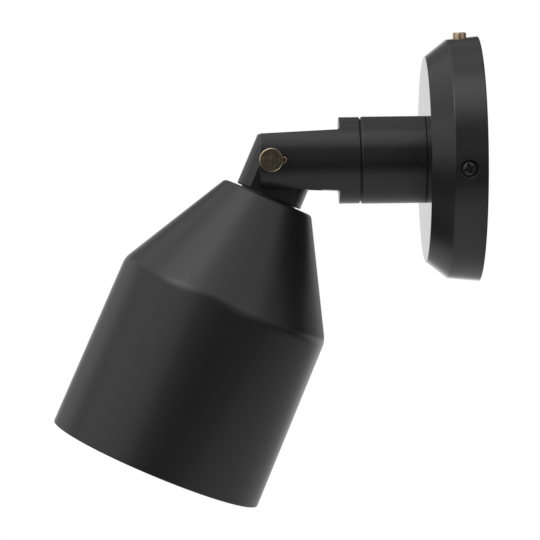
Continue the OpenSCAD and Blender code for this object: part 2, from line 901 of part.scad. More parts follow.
module shade_spacer() {
    color("#26262a") down_neck() translate([0, 0, neck_below])
        ring(shade_spacer_d, tube_d + 2 * pass_play, shade_gap);
}

module shade() {
    top = [shade_top_d / 2, shade_top];
    bend = [shade_shoulder_d / 2, shade_shoulder];
    mouth = [shade_mouth_d / 2, shade_mouth];
    top_in = corner_centre([0, shade_top], top, bend, shade_wall);
    bend_in = corner_centre(top, bend, mouth, shade_wall);
    color("#26262a") down_neck() rotate_extrude() polygon(rounded([
        [tube_d / 2 + pass_play, shade_top, 0],
        [top.x, top.y, shade_corner_r],
        [bend.x, bend.y, shade_shoulder_r],
        [mouth.x, mouth.y, shade_wall / 3],
        [mouth.x - shade_wall, mouth.y, shade_wall / 3],
        [bend_in.x, bend_in.y, shade_shoulder_r - shade_wall],
        [top_in.x, top_in.y, shade_corner_r - shade_wall],
        [tube_d / 2 + pass_play, shade_plate, 0]
    ]));
}

module shade_tube() {
    color("#c2c4c8") down_neck() translate([0, 0, tube_thread_top])
        ring(tube_d, tube_bore, shade_tube_low - tube_thread_top);
}

module shade_washer() {
    color("#c2c4c8") down_neck() translate([0, 0, shade_plate])
        ring(shade_washer_d, tube_d + 2 * pass_play, shade_washer_t);
}

module shade_nut() {
    color("#b9bcc0") down_neck() translate([0, 0, shade_plate + shade_washer_t])
        hex_nut(nut_across, tube_d + 2 * thread_play, shade_nut_t);
}

/* Lampholder */

module lampholder_cap() {
    color("#1c1c1e") down_neck() difference() {
        union() {
            rotate_extrude() polygon([
                [cap_neck_d / 2 - holder_wall, holder_top],
                [cap_neck_d / 2, holder_top],
                [holder_d / 2, holder_top + cap_cone_h],
                [holder_d / 2, cap_low],
                [holder_d / 2 - holder_wall, cap_low],
                [holder_d / 2 - holder_wall, holder_top + cap_cone_h + small_edge],
                [cap_neck_d / 2 - small_edge, holder_top + holder_wall]
            ]);
            translate([0, 0, holder_top]) cylinder(h = cap_neck_h, d = cap_neck_d);
        }
        translate([0, 0, holder_top - over])
            cylinder(h = cap_neck_h + 2 * over, d = tube_d + 2 * thread_play);
    }
}

module lampholder_body() {
    color("#1c1c1e") down_neck() translate([0, 0, cap_low])
        ring(holder_d, holder_d - 2 * holder_wall, holder_low - cap_low);
}

module at_holder_screws() {
    down_neck() for (side = [-1, 1]) {
        translate([side * holder_screw_radius, 0, insulator_top]) rotate([180, 0, 0]) children();
    }
}

module lampholder_insulator() {
    color("#ece8dd") difference() {
        down_neck() difference() {
            translate([0, 0, insulator_top])
                cylinder(h = cup_low - insulator_top, d = holder_d - 2 * holder_wall - 2 * insulator_play);
            translate([0, 0, insulator_low])
                cylinder(h = cup_low - insulator_low + over, r = shell_r + shell_wall + insulator_play / 2);
        }
        at_holder_screws() translate([0, 0, -insulator_t / 2])
            cylinder(h = insulator_t, d = holder_screw_d + 2 * thread_play);
    }
}

module lampholder_screws() {
    shank_l = insulator_t / 2 - small_edge;
    color("#c8a24c") at_holder_screws()
        slotted_screw(holder_screw_head_d, holder_screw_head_h, holder_screw_d, shank_l);
}

module screw_shell() {
    color("#c8a24c") down_neck() translate([0, 0, shell_top])
        ring(2 * (shell_r + shell_wall), 2 * shell_r, shell_l);
}

module centre_contact() {
    color("#c8a24c") down_neck() translate([0, 0, insulator_low]) cylinder(h = contact_t, d = contact_d);
}

/* Cables */

module arm_cable() {
    color("#17171a") from_wall() translate([0, 0, arm_cable_back])
        cylinder(h = pivot_reach - arm_cable_stop - arm_cable_back, d = cable_d);
}

module joint_cable() {
    a = [0, -sin(rest_tilt), -cos(rest_tilt)];
    n = [0, cos(rest_tilt), -sin(rest_tilt)];
    pivot = [0, -pivot_reach, 0];
    start = pivot + [0, arm_cable_stop, 0];
    finish = pivot + n * neck_offset + a * head_cable_top;
    lean = arm_cable_stop / 4;
    drop = head_cable_top - window_low;
    route = curve([
        start,
        start - [0, lean, 0],
        finish - a * (drop + lean) + n * (lean / 2),
        finish
    ], cable_sides);
    color("#17171a") tube_along(route, cable_d, cable_sides, [1, 0, 0], [0, -1, 0], a);
}

module head_cable() {
    color("#17171a") down_neck() translate([0, 0, head_cable_top])
        cylinder(h = head_cable_low - head_cable_top, d = cable_d);
}

// Two conductors run from the end of the cable to the lampholder's screws
module lamp_leads() {
    screw_end = insulator_top - holder_screw_head_h;
    middle = (screw_end - head_cable_low) / 2;
    color("#303236") down_neck() for (side = [-1, 1]) {
        start = [side * lead_spread, 0, head_cable_low];
        finish = [side * holder_screw_radius, 0, screw_end];
        route = curve([start, start + [0, 0, middle], finish - [0, 0, middle], finish], lead_sides);
        tube_along(route, lead_d, lead_sides, [0, 1, 0], [0, 0, 1], [0, 0, 1]);
    }
}

canopy();
mounting_strip();
canopy_screws();
earth_screw();
earth_tag();
earth_lead();
terminal_block();
terminal_screws();
switch_body();
switch_lugs();
switch_leads();
switch_button();
canopy_leads();
stub();
swivel_tube();
canopy_nut();
lock_washer();
stub_nut();
swivel_stop_pin();
fork_arm();
swivel_washer();
spring_washer();
swivel_nut();
tilt_washers();
tilt_stop_screw();
pivot_nut();
arm_cable();
joint_cable();
thumb_screw();
neck();
shade_spacer();
shade();
shade_tube();
shade_washer();
shade_nut();
head_cable();
lampholder_cap();
lampholder_body();
lampholder_insulator();
lampholder_screws();
screw_shell();
centre_contact();
lamp_leads();
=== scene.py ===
"""Looks of a pivoting spotlight wall light, built round its packed CAD frame.

The wall is the plane y = 0, the light reaches out along -Y, and +Z is up. Lengths are in metres.
"""

import json
import math

import bmesh
import bpy
import numpy as np
from mathutils import Matrix, Vector


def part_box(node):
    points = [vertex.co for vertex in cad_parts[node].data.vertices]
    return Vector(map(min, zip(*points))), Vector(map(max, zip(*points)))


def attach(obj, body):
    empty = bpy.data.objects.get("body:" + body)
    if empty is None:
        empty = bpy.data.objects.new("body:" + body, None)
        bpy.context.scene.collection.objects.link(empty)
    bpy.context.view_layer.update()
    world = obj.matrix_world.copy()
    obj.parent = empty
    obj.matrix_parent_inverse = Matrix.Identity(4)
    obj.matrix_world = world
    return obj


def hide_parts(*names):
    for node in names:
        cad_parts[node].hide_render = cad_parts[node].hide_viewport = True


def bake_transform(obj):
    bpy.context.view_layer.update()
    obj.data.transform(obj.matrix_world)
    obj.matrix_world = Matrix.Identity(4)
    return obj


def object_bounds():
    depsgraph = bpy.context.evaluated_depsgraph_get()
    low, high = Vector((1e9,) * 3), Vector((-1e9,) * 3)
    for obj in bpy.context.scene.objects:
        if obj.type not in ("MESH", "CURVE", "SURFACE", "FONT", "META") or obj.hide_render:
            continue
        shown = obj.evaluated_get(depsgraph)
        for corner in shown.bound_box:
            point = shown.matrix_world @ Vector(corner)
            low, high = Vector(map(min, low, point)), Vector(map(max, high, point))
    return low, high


bl_info = {
    "name": "Pivoting wall spotlight",
    "version": (1, 0, 0),
    "blender": (4, 5, 0),
    "location": "3D Viewport > Sidebar > Spotlight",
    "description": "Builds the light's surfaces, finishes and studio round its CAD frame",
    "category": "Object",
}

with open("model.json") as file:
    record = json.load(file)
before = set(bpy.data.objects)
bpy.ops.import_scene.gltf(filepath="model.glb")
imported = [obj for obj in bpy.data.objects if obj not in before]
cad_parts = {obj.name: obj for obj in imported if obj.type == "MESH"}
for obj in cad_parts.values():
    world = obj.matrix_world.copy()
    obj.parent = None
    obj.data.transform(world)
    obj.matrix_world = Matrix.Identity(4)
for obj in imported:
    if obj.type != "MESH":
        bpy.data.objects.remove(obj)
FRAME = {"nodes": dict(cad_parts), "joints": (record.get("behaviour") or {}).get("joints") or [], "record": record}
CAD_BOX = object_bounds()
NODES = FRAME["nodes"]
JOINTS = {joint["name"]: joint for joint in FRAME["joints"]}
MOUNTS = {mount["name"]: mount for mount in FRAME["record"]["mounts"]}
MM = 0.001
SIDE_HOLD = 0.35      # distance from an arc to the point that keeps its side flat, as a share of its radius
MERGE_DISTANCE = 1e-6
THIN_DISTANCE = 1e-7  # edges shorter than this are dissolved
RING_STEPS = 96       # columns of the small turned pieces and of the floor
SHANK_STEPS = 48


# Places and axes that the frame gives

def unit(v):
    """Vectors along the last axis, divided by their lengths. A vector with no length stays so."""
    length = np.linalg.norm(v, axis=-1, keepdims=True)
    return v / np.where(length > 0, length, 1)


def full_turn(columns):
    """Angles of evenly spread columns round a circle."""
    return 2 * np.pi * np.arange(columns) / columns


def axis_frame(origin, along, side):
    """Origin and three unit vectors: side, the cross product of along and side, and along."""
    along, side = np.array(along, float), np.array(side, float)
    return np.array(origin, float), side, np.cross(along, side), along


X, Y, Z = np.eye(3)
PIVOT = np.array(JOINTS["shade_tilt"]["pos_m"], float)
DOWN = unit(np.array(MOUNTS["lamp_socket"]["axis"], float))
BEHIND = np.cross(X, DOWN)
SOCKET = np.array(MOUNTS["lamp_socket"]["pos_m"], float)
NECK_OFFSET = float((SOCKET - PIVOT) @ BEHIND)
WALL_AXIS = axis_frame((0, 0, 0), -Y, X)
NECK_AXIS = axis_frame(PIVOT + BEHIND * NECK_OFFSET, DOWN, X)
PIVOT_AXIS = axis_frame(PIVOT, X, Y)


def low_high(node, axis):
    """Least and greatest place of a CAD node's points along an axis frame's last vector."""
    mesh = NODES[node].data
    points = np.empty(len(mesh.vertices) * 3)
    mesh.vertices.foreach_get("co", points)
    along = (points.reshape(-1, 3) - axis[0]) @ axis[3]
    return float(along.min()), float(along.max())


# Sizes and colours that a user would change

def length(name, description, default):
    return bpy.props.FloatProperty(
        name=name, description=description, default=default, min=0, unit="LENGTH", precision=5
    )


def number(name, description, default):
    return bpy.props.FloatProperty(name=name, description=description, default=default, precision=3)


def count(name, description, default):
    return bpy.props.IntProperty(name=name, description=description, default=default, min=1)


def colour(name, description, default):
    return bpy.props.FloatVectorProperty(
        name=name, description=description, default=default, size=3, min=0, max=1, subtype="COLOR"
    )


class ShadeSizes(bpy.types.PropertyGroup):
    """Sizes of the spun shade."""

    top_radius: length("Top radius", "Radius of the flat top before its corner is rounded", 23 * MM)
    shoulder_radius: length("Shoulder radius", "Radius where the cone meets the skirt", 53.2 * MM)
    mouth_radius: length("Mouth radius", "Radius of the open end", 54.18 * MM)
    cone_height: length("Cone height", "Height of the cone", 54.3 * MM)
    wall: length("Wall", "Thickness of the metal", 1.5 * MM)
    top_blend: length("Top blend", "Radius of the corner round the flat top", 2.5 * MM)
    shoulder_blend: length("Shoulder blend", "Radius of the bend between cone and skirt", 12 * MM)
    hole_radius: length("Hole radius", "Radius of the hole for the threaded tube", 5.2 * MM)


class StubSizes(bpy.types.PropertyGroup):
    """Sizes of the fixed stub."""

    radius: length("Radius", "Radius of the stub", 21.35 * MM)
    bore_radius: length("Bore radius", "Radius of the bore for the threaded tube", 5.05 * MM)
    well_radius: length("Well radius", "Radius of the nut's well in the front face", 10 * MM)
    well_depth: length("Well depth", "Depth of the nut's well", 5.4 * MM)
    edge: length("Edge", "Radius of the front edge", 0.6 * MM)
    lip_inset: length("Lip inset", "Depth of the groove outside the lip, down from the surface", 1.25 * MM)
    lip_width: length("Lip width", "Width of the lip", 0.8 * MM)
    lip_height: length("Lip height", "Height of the lip, which doesn't reach the collar", 0.45 * MM)


class ThumbScrewSizes(bpy.types.PropertyGroup):
    """Sizes of the thumb screw."""

    head_radius: length("Head radius", "Radius over the knurl", 5.8 * MM)
    head_thickness: length("Head thickness", "Thickness of the head", 5 * MM)
    bevel: length("Bevel", "Width of the bevel round the face", 0.46 * MM)
    teeth: count("Teeth", "Teeth of the knurl", 108)
    tooth_depth: length("Tooth depth", "Depth of the knurl", 0.13 * MM)
    shank_radius: length("Shank radius", "Radius of the pivot shank", 2.5 * MM)


class StopScrewSizes(bpy.types.PropertyGroup):
    """Sizes of the stop screw."""

    rim: length("Rim", "Radius of the rounded rim", 0.35 * MM)
    lip: length("Lip", "Width of the softened edge of the socket", 0.15 * MM)
    socket_across: length("Socket across", "Distance across the flats of the socket", 1.8 * MM)
    socket_depth: length("Socket depth", "Depth of the socket", 1.6 * MM)


class EdgeSizes(bpy.types.PropertyGroup):
    """Radii that the finishes give to the edges of the CAD nodes."""

    canopy: length("Canopy", "Radius of the canopy's edges", 0.8 * MM)
    arm: length("Fork arm", "Radius of the fork arm's edges", 0.6 * MM)
    neck: length("Neck", "Radius of the neck's edges", 0.5 * MM)
    nut: length("Nut", "Radius of the domed nut's edges", 0.4 * MM)


class SmallPartSizes(bpy.types.PropertyGroup):
    """Sizes of the screws and the push button."""

    pan_radius: length("Pan head radius", "Radius of the side screws' heads", 3.5 * MM)
    pan_height: length("Pan head height", "Height of the side screws' heads", 2.2 * MM)
    pan_shank: length("Pan head shank", "Radius of the side screws' shanks", 1.75 * MM)
    pan_reach: length("Pan head reach", "Length of the side screws' shanks", 6 * MM)
    cross_length: length("Cross length", "Length of the cross recess", 4.9 * MM)
    cross_width: length("Cross width", "Width of the cross recess", 0.95 * MM)
    cross_depth: length("Cross depth", "Depth of the cross recess", 1.4 * MM)
    cross_turn: bpy.props.FloatProperty(
        name="Cross turn", description="Turn of the cross recess", default=math.radians(20), subtype="ANGLE"
    )
    button_radius: length("Button radius", "Radius of the push button", 3.3 * MM)
    button_edge: length("Button edge", "Radius of the push button's top edge", 0.7 * MM)
    button_skirt: length("Button skirt", "Height of the wider foot of the push button", 1.5 * MM)
    cable_radius: length("Cable radius", "Radius of the cable", 2.5 * MM)
    cable_aim: length("Cable aim", "Distance below the pivot where the cable's bend is aimed", 3.2 * MM)


class FinishColours(bpy.types.PropertyGroup):
    """Colours of the finishes."""

    lacquer: colour("Lacquer", "Black lacquer of the body", (0.013, 0.013, 0.0133))
    brass: colour("Brass", "Bare brass", (0.72, 0.53, 0.25))
    aged_brass: colour("Aged brass", "Brass with a dark patina", (0.115, 0.088, 0.052))
    # Shows in the scratches and on the thumb screw's rim, where it is partly a worn edge, partly a painted
    # highlight.
    thumb_brass_and_rim_highlight: colour("Pale brass", "Rubbed brass of the thumb screw's edge", (0.82, 0.68, 0.45))
    patina: colour("Patina", "Dark patina of the thumb screw's face", (0.118, 0.118, 0.088))
    stain: colour("Stain", "Brown flecks in the patina", (0.2, 0.15, 0.1))
    tan_brass: colour("Tan brass", "Satin brass of the push button", (0.84, 0.66, 0.45))
    # Shows where the stop screw's patina is thin, and on its rim as a painted highlight.
    copper: colour("Coppery brass", "Rubbed rim of the stop screw", (0.78, 0.55, 0.46))
    dark_copper: colour("Dark copper", "Patina of the stop screw", (0.1, 0.055, 0.045))
    zinc: colour("Zinc", "Zinc-plated steel", (0.56, 0.57, 0.6))
    blackened: colour("Blackened steel", "Side screws", (0.016, 0.016, 0.017))
    sheath: colour("Sheath", "Sheath of the cable", (0.018, 0.018, 0.02))
    leads: colour("Leads", "Insulation of the leads", (0.06, 0.06, 0.07))
    earth: colour("Earth lead", "First colour of the earth lead", (0.13, 0.36, 0.06))
    earth_stripe: colour("Earth stripe", "Second colour of the earth lead", (0.75, 0.6, 0.05))
    nylon: colour("Nylon", "Terminal block", (0.8, 0.79, 0.75))
    fibre: colour("Fibre", "Washers of pressed fibre", (0.16, 0.12, 0.09))
    phenolic: colour("Phenolic", "Bodies of the switch and the lampholder", (0.014, 0.013, 0.013))
    porcelain: colour("Porcelain", "Insulator in the lampholder", (0.84, 0.82, 0.76))


class StudioSettings(bpy.types.PropertyGroup):
    """Camera and floor. The panels of light are listed above the panel of the add-on."""

    camera_place: bpy.props.FloatVectorProperty(
        name="Camera place", description="Where the camera stands", size=3, unit="LENGTH",
        default=(1.138, -0.105593, -0.029004),
    )
    camera_yaw: number("Camera yaw", "Turn of the camera to its left, in degrees", 0.166)
    camera_pitch: number("Camera pitch", "Tilt of the camera upwards, in degrees", -1.226)
    camera_roll: number("Camera roll", "Roll of the camera, in degrees", -0.693)
    lens: number("Lens", "Focal length on a 36 mm sensor", 154.44)
    floor_drop: length("Floor drop", "Distance of the floor below the light", 0.2)
    floor_radius: length("Floor radius", "Radius of the floor", 4.0)


# Surfaces as whole arrays

def rounded(corners, steps=8):
    """Closed outline of (radius, height) points from rows of (radius, height, rounding).

    Each corner becomes an arc that touches both of its sides, drawn by turning the first touching radius
    into the last one. A short way before and after each arc lies one more point, which keeps the shading of
    the sides flat.
    """
    corners = np.array(corners, float)
    here, radius = corners[:, None, :2], corners[:, None, 2:]
    back = unit(np.roll(here, 1, axis=0) - here)
    ahead = unit(np.roll(here, -1, axis=0) - here)
    half = np.arccos(np.clip((back * ahead).sum(-1, keepdims=True), -1, 1)) / 2
    reach = radius / np.tan(half)
    centre = here + unit(back + ahead) * radius / np.sin(half)
    first, last = here + back * reach - centre, here + ahead * reach - centre
    sweep = np.pi - 2 * half
    t = np.linspace(0, 1, steps + 1)[None, :, None]
    arc = centre + (np.sin((1 - t) * sweep) * first + np.sin(t * sweep) * last) / np.sin(sweep)
    hold = reach + SIDE_HOLD * radius
    return np.concatenate([here + back * hold, arc, here + ahead * hold], axis=1).reshape(-1, 2)


def grid_faces(rows, columns):
    """Quads of a grid that closes on itself both ways, as rows of four indices."""
    i, j = np.meshgrid(np.arange(rows), np.arange(columns), indexing="ij")
    a, b = i * columns + j, i * columns + (j + 1) % columns
    c, d = (i + 1) % rows * columns + (j + 1) % columns, (i + 1) % rows * columns + j
    return np.stack([a, b, c, d], axis=-1).reshape(-1, 4)


def polar_sheet(heights, radii, axis):
    """Grid over the spokes of an axis, for a shape that needn't be round.

    Row i, column j is the origin plus radii_ij (cos a_j side + sin a_j cross) plus heights_ij along, with
    a_j = 2 pi j / columns.
    """
    origin, side, cross, along = axis
    turn = full_turn(radii.shape[1])
    spoke = np.cos(turn)[:, None] * side + np.sin(turn)[:, None] * cross
    points = origin + radii[..., None] * spoke + heights[..., None] * along
    return points.reshape(-1, 3), grid_faces(*radii.shape)


def revolve(outline, axis, columns):
    """Closed outline turned once round an axis, as a polar sheet whose columns are all alike."""
    radii, heights = np.repeat(outline.T[:, :, None], columns, axis=2)
    return polar_sheet(heights, radii, axis)


def tube(path, radius, columns=24):
    """Round tube along a path in the plane x = 0, closed by a flat end at both ends.

    Ring i stands square to the path's direction t_i: path_i plus radius (cos a X + sin a (t_i x X)). The end
    rings shrink to a point.
    """
    direction = unit(np.gradient(path, axis=0))
    other = np.cross(direction, X)
    turn = full_turn(columns)
    share = np.ones(len(path))
    share[[0, -1]] = 0
    ring = np.cos(turn)[None, :, None] * X + np.sin(turn)[None, :, None] * other[:, None, :]
    points = path[:, None, :] + radius * share[:, None, None] * ring
    return points.reshape(-1, 3), grid_faces(len(path), columns)[: (len(path) - 1) * columns]


def smooth_step(x):
    """0 below 0, 1 above 1, and 3 x squared less 2 x cubed between."""
    x = np.clip(x, 0, 1)
    return x * x * (3 - 2 * x)


def make_piece(name, shells, body, material, replaces=(), sharp=32):
    """One mesh object from closed shells, with its doubles merged and its faces turned outwards.

    It rides a body where one is given, takes the material, and hides the CAD nodes that it replaces.
    """
    offsets = np.cumsum([0] + [len(points) for points, faces in shells[:-1]])
    points = np.concatenate([points for points, faces in shells])
    faces = np.concatenate([faces + offset for (_, faces), offset in zip(shells, offsets)])
    mesh = bpy.data.meshes.new(name)
    mesh.vertices.add(len(points))
    mesh.vertices.foreach_set("co", points.astype(np.float32).ravel())
    mesh.loops.add(faces.size)
    mesh.loops.foreach_set("vertex_index", faces.astype(np.int32).ravel())
    mesh.polygons.add(len(faces))
    mesh.polygons.foreach_set("loop_start", np.arange(0, faces.size, 4, dtype=np.int32))
    mesh.update(calc_edges=True)
    form = bmesh.new()
    form.from_mesh(mesh)
    bmesh.ops.remove_doubles(form, verts=form.verts, dist=MERGE_DISTANCE)
    bmesh.ops.dissolve_degenerate(form, edges=form.edges, dist=THIN_DISTANCE)
    bmesh.ops.recalc_face_normals(form, faces=form.faces)
    form.to_mesh(mesh)
    form.free()
    mesh.polygons.foreach_set("use_smooth", np.ones(len(mesh.polygons), bool))
    mesh.set_sharp_from_angle(angle=math.radians(sharp))
    mesh.materials.append(material)
    piece = bpy.data.objects.new(name, mesh)
    bpy.context.scene.collection.objects.link(piece)
    if body:
        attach(piece, body)
    if replaces:
        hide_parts(*replaces)
    return piece


# Finishes

def feed(tree, socket, value):
    """Links an output to an input, or sets the input to a value. None leaves it."""
    if isinstance(value, bpy.types.NodeSocket):
        tree.links.new(value, socket)
    elif value is not None:
        socket.default_value = value


def put(tree, kind, **values):
    """New node of a kind. Each value goes to the property of its name, or else to the input of its name."""
    made = tree.nodes.new(kind)
    for key, value in values.items():
        if hasattr(made, key):
            setattr(made, key, value)
        else:
            feed(tree, made.inputs[key.replace("_", " ")], value)
    return made


def maths(tree, operation, a, b=0.0, c=None, clamp=False):
    made = tree.nodes.new("ShaderNodeMath")
    made.operation, made.use_clamp = operation, clamp
    for socket, value in zip(made.inputs, (a, b, c)):
        feed(tree, socket, value)
    return made.outputs[0]


def noise(tree, vector, scale, detail, **values):
    return put(tree, "ShaderNodeTexNoise", Vector=vector, Scale=scale, Detail=detail, **values).outputs["Fac"]


def vector_maths(tree, operation, a, b=None, **values):
    made = put(tree, "ShaderNodeVectorMath", operation=operation, **values)
    feed(tree, made.inputs[0], a)
    feed(tree, made.inputs[1], b)
    return made.outputs


def fade(tree, value, low, high, start=0.0, end=1.0):
    """Smooth step from start, where value is low or less, to end, where it is high or more."""
    return put(tree, "ShaderNodeMapRange", interpolation_type="SMOOTHSTEP", Value=value, From_Min=low,
               From_Max=high, To_Min=start, To_Max=end).outputs[0]


def blend_colours(tree, share, a, b):
    """Colour a where share is 0 and b where it is 1."""
    made = tree.nodes.new("ShaderNodeMix")
    made.data_type, made.blend_type, made.clamp_factor = "RGBA", "MIX", True
    feed(tree, made.inputs[0], share)
    for socket, value in ((made.inputs[6], a), (made.inputs[7], b)):
        feed(tree, socket, value if isinstance(value, bpy.types.NodeSocket) else (*value, 1))
    return made.outputs[2]


def new_group(name, inputs, outputs):
    """Empty shader group with the named sockets, its input node and its output node."""
    group = bpy.data.node_groups.new(name, "ShaderNodeTree")
    for socket, kind in inputs:
        group.interface.new_socket(name=socket, in_out="INPUT", socket_type=kind)
    for socket, kind in outputs:
        group.interface.new_socket(name=socket, in_out="OUTPUT", socket_type=kind)
    return group, group.nodes.new("NodeGroupInput").outputs, group.nodes.new("NodeGroupOutput").inputs


def sprayed_grain():
    """Fine pimpled skin of a sprayed and baked lacquer, with slow changes of shade and of gloss."""
    name = "Sprayed grain"
    if name in bpy.data.node_groups:
        return bpy.data.node_groups[name]
    group, given, result = new_group(
        name,
        [("Vector", "NodeSocketVector"), ("Colour", "NodeSocketColor"), ("Roughness", "NodeSocketFloat"),
         ("Grain", "NodeSocketFloat")],
        [("Colour", "NodeSocketColor"), ("Roughness", "NodeSocketFloat"), ("Height", "NodeSocketFloat")],
    )
    fine = noise(group, given["Vector"], given["Grain"], 2.0, Roughness=0.6)
    speck = put(group, "ShaderNodeTexVoronoi", Vector=given["Vector"], Scale=given["Grain"])
    shade = maths(group, "MULTIPLY_ADD", noise(group, given["Vector"], 28.0, 3.0), 0.24, 0.88)
    group.links.new(vector_maths(group, "SCALE", given["Colour"], Scale=shade)[0], result["Colour"])
    middle = maths(group, "ADD", given["Roughness"], -0.05)
    group.links.new(maths(group, "MULTIPLY_ADD", fine, 0.1, middle), result["Roughness"])
    pits = maths(group, "MULTIPLY", speck.outputs["Distance"], 0.4)
    group.links.new(maths(group, "ADD", fine, pits), result["Height"])
    return group


def turned_rings():
    """Fine rings that a lathe leaves round a local z axis, as a height and as a mask of the finest lines."""
    name = "Turned rings"
    if name in bpy.data.node_groups:
        return bpy.data.node_groups[name]
    group, given, result = new_group(
        name,
        [("Vector", "NodeSocketVector"), ("Pitch", "NodeSocketFloat")],
        [("Height", "NodeSocketFloat"), ("Lines", "NodeSocketFloat")],
    )
    parts = put(group, "ShaderNodeSeparateXYZ", Vector=given["Vector"])
    across = maths(group, "POWER", parts.outputs["X"], 2.0)
    up = maths(group, "POWER", parts.outputs["Y"], 2.0)
    radius = maths(group, "SQRT", maths(group, "ADD", across, up))
    place = maths(group, "ADD", radius, parts.outputs["Z"])
    line = maths(group, "MULTIPLY", place, given["Pitch"])
    coarse = put(group, "ShaderNodeTexNoise", noise_dimensions="1D", W=line, Scale=1.0, Detail=3.0)
    thin = put(group, "ShaderNodeTexNoise", noise_dimensions="1D", W=line, Scale=4.0, Detail=2.0)
    group.links.new(coarse.outputs["Fac"], result["Height"])
    group.links.new(thin.outputs["Fac"], result["Lines"])
    return group


def fine_scratches():
    """Mask of thin straight scratches that cross a face square to X in two directions."""
    name = "Fine scratches"
    if name in bpy.data.node_groups:
        return bpy.data.node_groups[name]
    group, given, result = new_group(
        name, [("Vector", "NodeSocketVector"), ("Amount", "NodeSocketFloat")], [("Mask", "NodeSocketFloat")]
    )
    masks = []
    for turn, spacing in ((-0.85, 0.00035), (0.6, 0.00025)):
        lying = put(group, "ShaderNodeMapping", vector_type="TEXTURE", Vector=given["Vector"],
                    Rotation=(turn, 0, 0), Scale=(0.02, 0.007, spacing))
        masks.append(fade(group, noise(group, lying.outputs[0], 1.0, 1.0), 0.62, 0.74))
    both = maths(group, "MAXIMUM", *masks)
    group.links.new(maths(group, "MULTIPLY", both, given["Amount"]), result["Mask"])
    return group


def new_material(name):
    """Material with its Principled shader and object coordinates."""
    made = bpy.data.materials.new(name)
    made.use_nodes = True
    tree = made.node_tree
    shader = tree.nodes["Principled BSDF"]
    return made, tree, shader, put(tree, "ShaderNodeTexCoord").outputs["Object"]


def along_axis(tree, vector, axis):
    """Object coordinates turned and moved so that an axis frame becomes the local x, y and z."""
    origin, side, cross, along = axis
    turn = Matrix((side, cross, along)).to_euler()
    moved = vector_maths(tree, "SUBTRACT", vector, origin)[0]
    return put(tree, "ShaderNodeMapping", vector_type="POINT", Vector=moved, Rotation=turn).outputs[0]


def use_group(tree, group, **values):
    """Group node in a material, with its inputs set or linked by name."""
    made = tree.nodes.new("ShaderNodeGroup")
    made.node_tree = group
    for key, value in values.items():
        feed(tree, made.inputs[key], value)
    return made.outputs


def soft_edges(tree, radius):
    """Normal that is rounded over near an edge, for a CAD node whose own edges are sharp."""
    return put(tree, "ShaderNodeBevel", samples=8, Radius=radius).outputs[0]


def vary_roughness(tree, shader, skin, middle, spread):
    """The shader's roughness follows a skin of noise, by spread in all round its middle."""
    rough = maths(tree, "MULTIPLY_ADD", skin, spread, middle - spread / 2)
    tree.links.new(rough, shader.inputs["Roughness"])


def raise_skin(tree, shader, height, distance):
    """The shader's normal follows a height, whose full step is distance. The bump node is given back."""
    bump = put(tree, "ShaderNodeBump", Strength=1.0, Distance=distance, Height=height)
    tree.links.new(bump.outputs[0], shader.inputs["Normal"])
    return bump


def lacquer_finish(name, tint, roughness=0.3, axis=None, soft=0, glancing=1.0):
    """Satin black lacquer. Where an axis is given, faint lathe rings show through it.

    The share glancing of its roughness is left at a glancing view.
    """
    made, tree, shader, vector = new_material(name)
    grain = use_group(tree, sprayed_grain(), Vector=vector, Colour=(*tint, 1), Roughness=roughness,
                      Grain=1900.0)
    tree.links.new(grain["Colour"], shader.inputs["Base Color"])
    rough = grain["Roughness"]
    if glancing < 1:
        facing = put(tree, "ShaderNodeLayerWeight", Blend=0.5).outputs["Facing"]
        rough = maths(tree, "MULTIPLY", rough, fade(tree, facing, 0.7, 0.95, 1.0, glancing))
    tree.links.new(rough, shader.inputs["Roughness"])
    skin = put(tree, "ShaderNodeBump", Strength=1.0, Distance=0.000018, Height=grain["Height"])
    if soft:
        tree.links.new(soft_edges(tree, soft), skin.inputs["Normal"])
    normal = skin.outputs[0]
    if axis:
        rings = use_group(tree, turned_rings(), Vector=along_axis(tree, vector, axis), Pitch=900.0)
        normal = put(tree, "ShaderNodeBump", Strength=1.0, Distance=0.000004, Height=rings["Height"],
                     Normal=normal).outputs[0]
    tree.links.new(normal, shader.inputs["Normal"])
    return made


